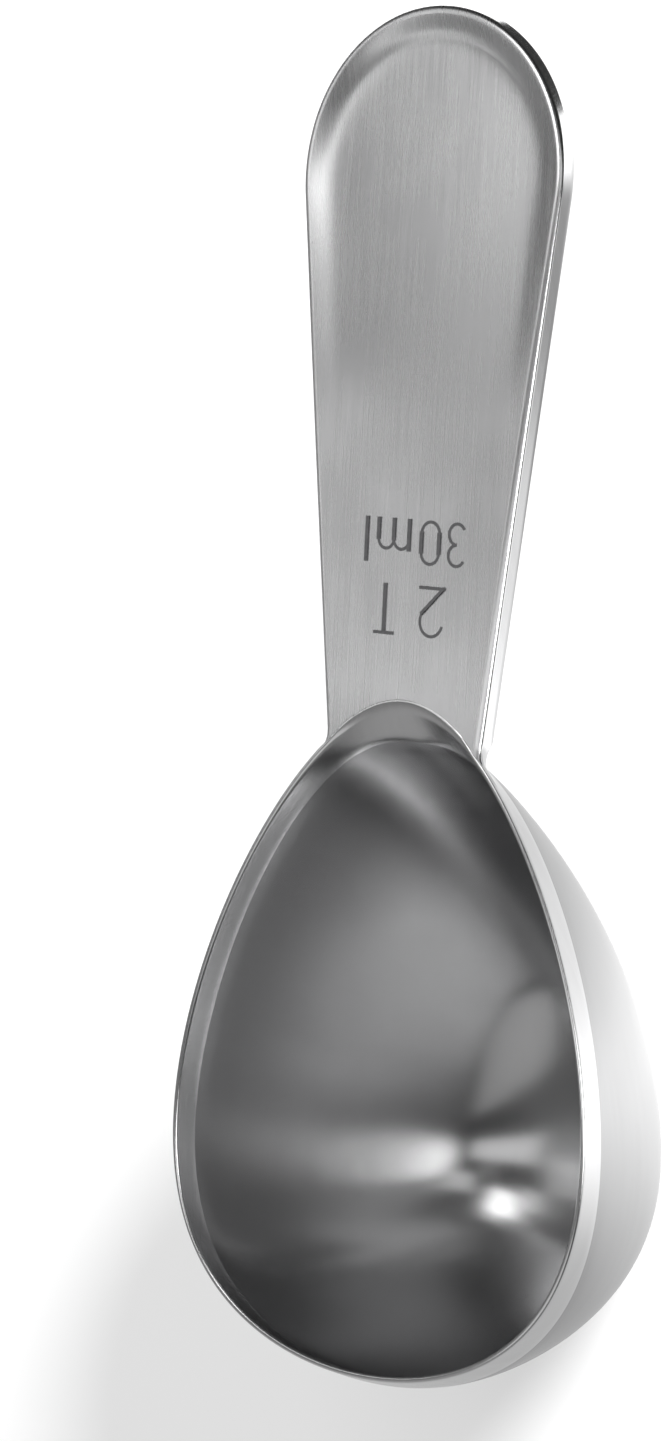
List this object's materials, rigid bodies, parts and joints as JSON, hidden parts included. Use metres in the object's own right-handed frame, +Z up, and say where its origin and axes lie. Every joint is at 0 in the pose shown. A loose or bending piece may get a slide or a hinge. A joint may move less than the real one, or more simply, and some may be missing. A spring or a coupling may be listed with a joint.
{
  "type": "measuring spoon",
  "caption": "Pressed steel measuring spoon with a deep egg-shaped bowl and a short flared handle with a turned-down edge.",
  "frame": {"origin": "middle of the small flat under the bowl, on which the spoon stands", "axes": "+Z up out of the bowl's mouth, +Y from the bowl towards the end of the handle, X across; mirror symmetric about x = 0"},
  "size_m": [0.0444, 0.1118, 0.0301],
  "materials": {
    "steel_bowl": "satin, brushed across the bowl",
    "steel_handle": "fine brushed along the handle",
    "steel_edge": "brushed, brighter on the edges",
    "mark": "matt dark"
  },
  "bodies": {
    "root": {"bowl": "steel_bowl", "rim_band": "steel_edge", "handle_panel": "steel_handle", "handle_edge": "steel_edge", "mark_30ml": "mark", "mark_2t": "mark"}
  },
  "joints": []
}
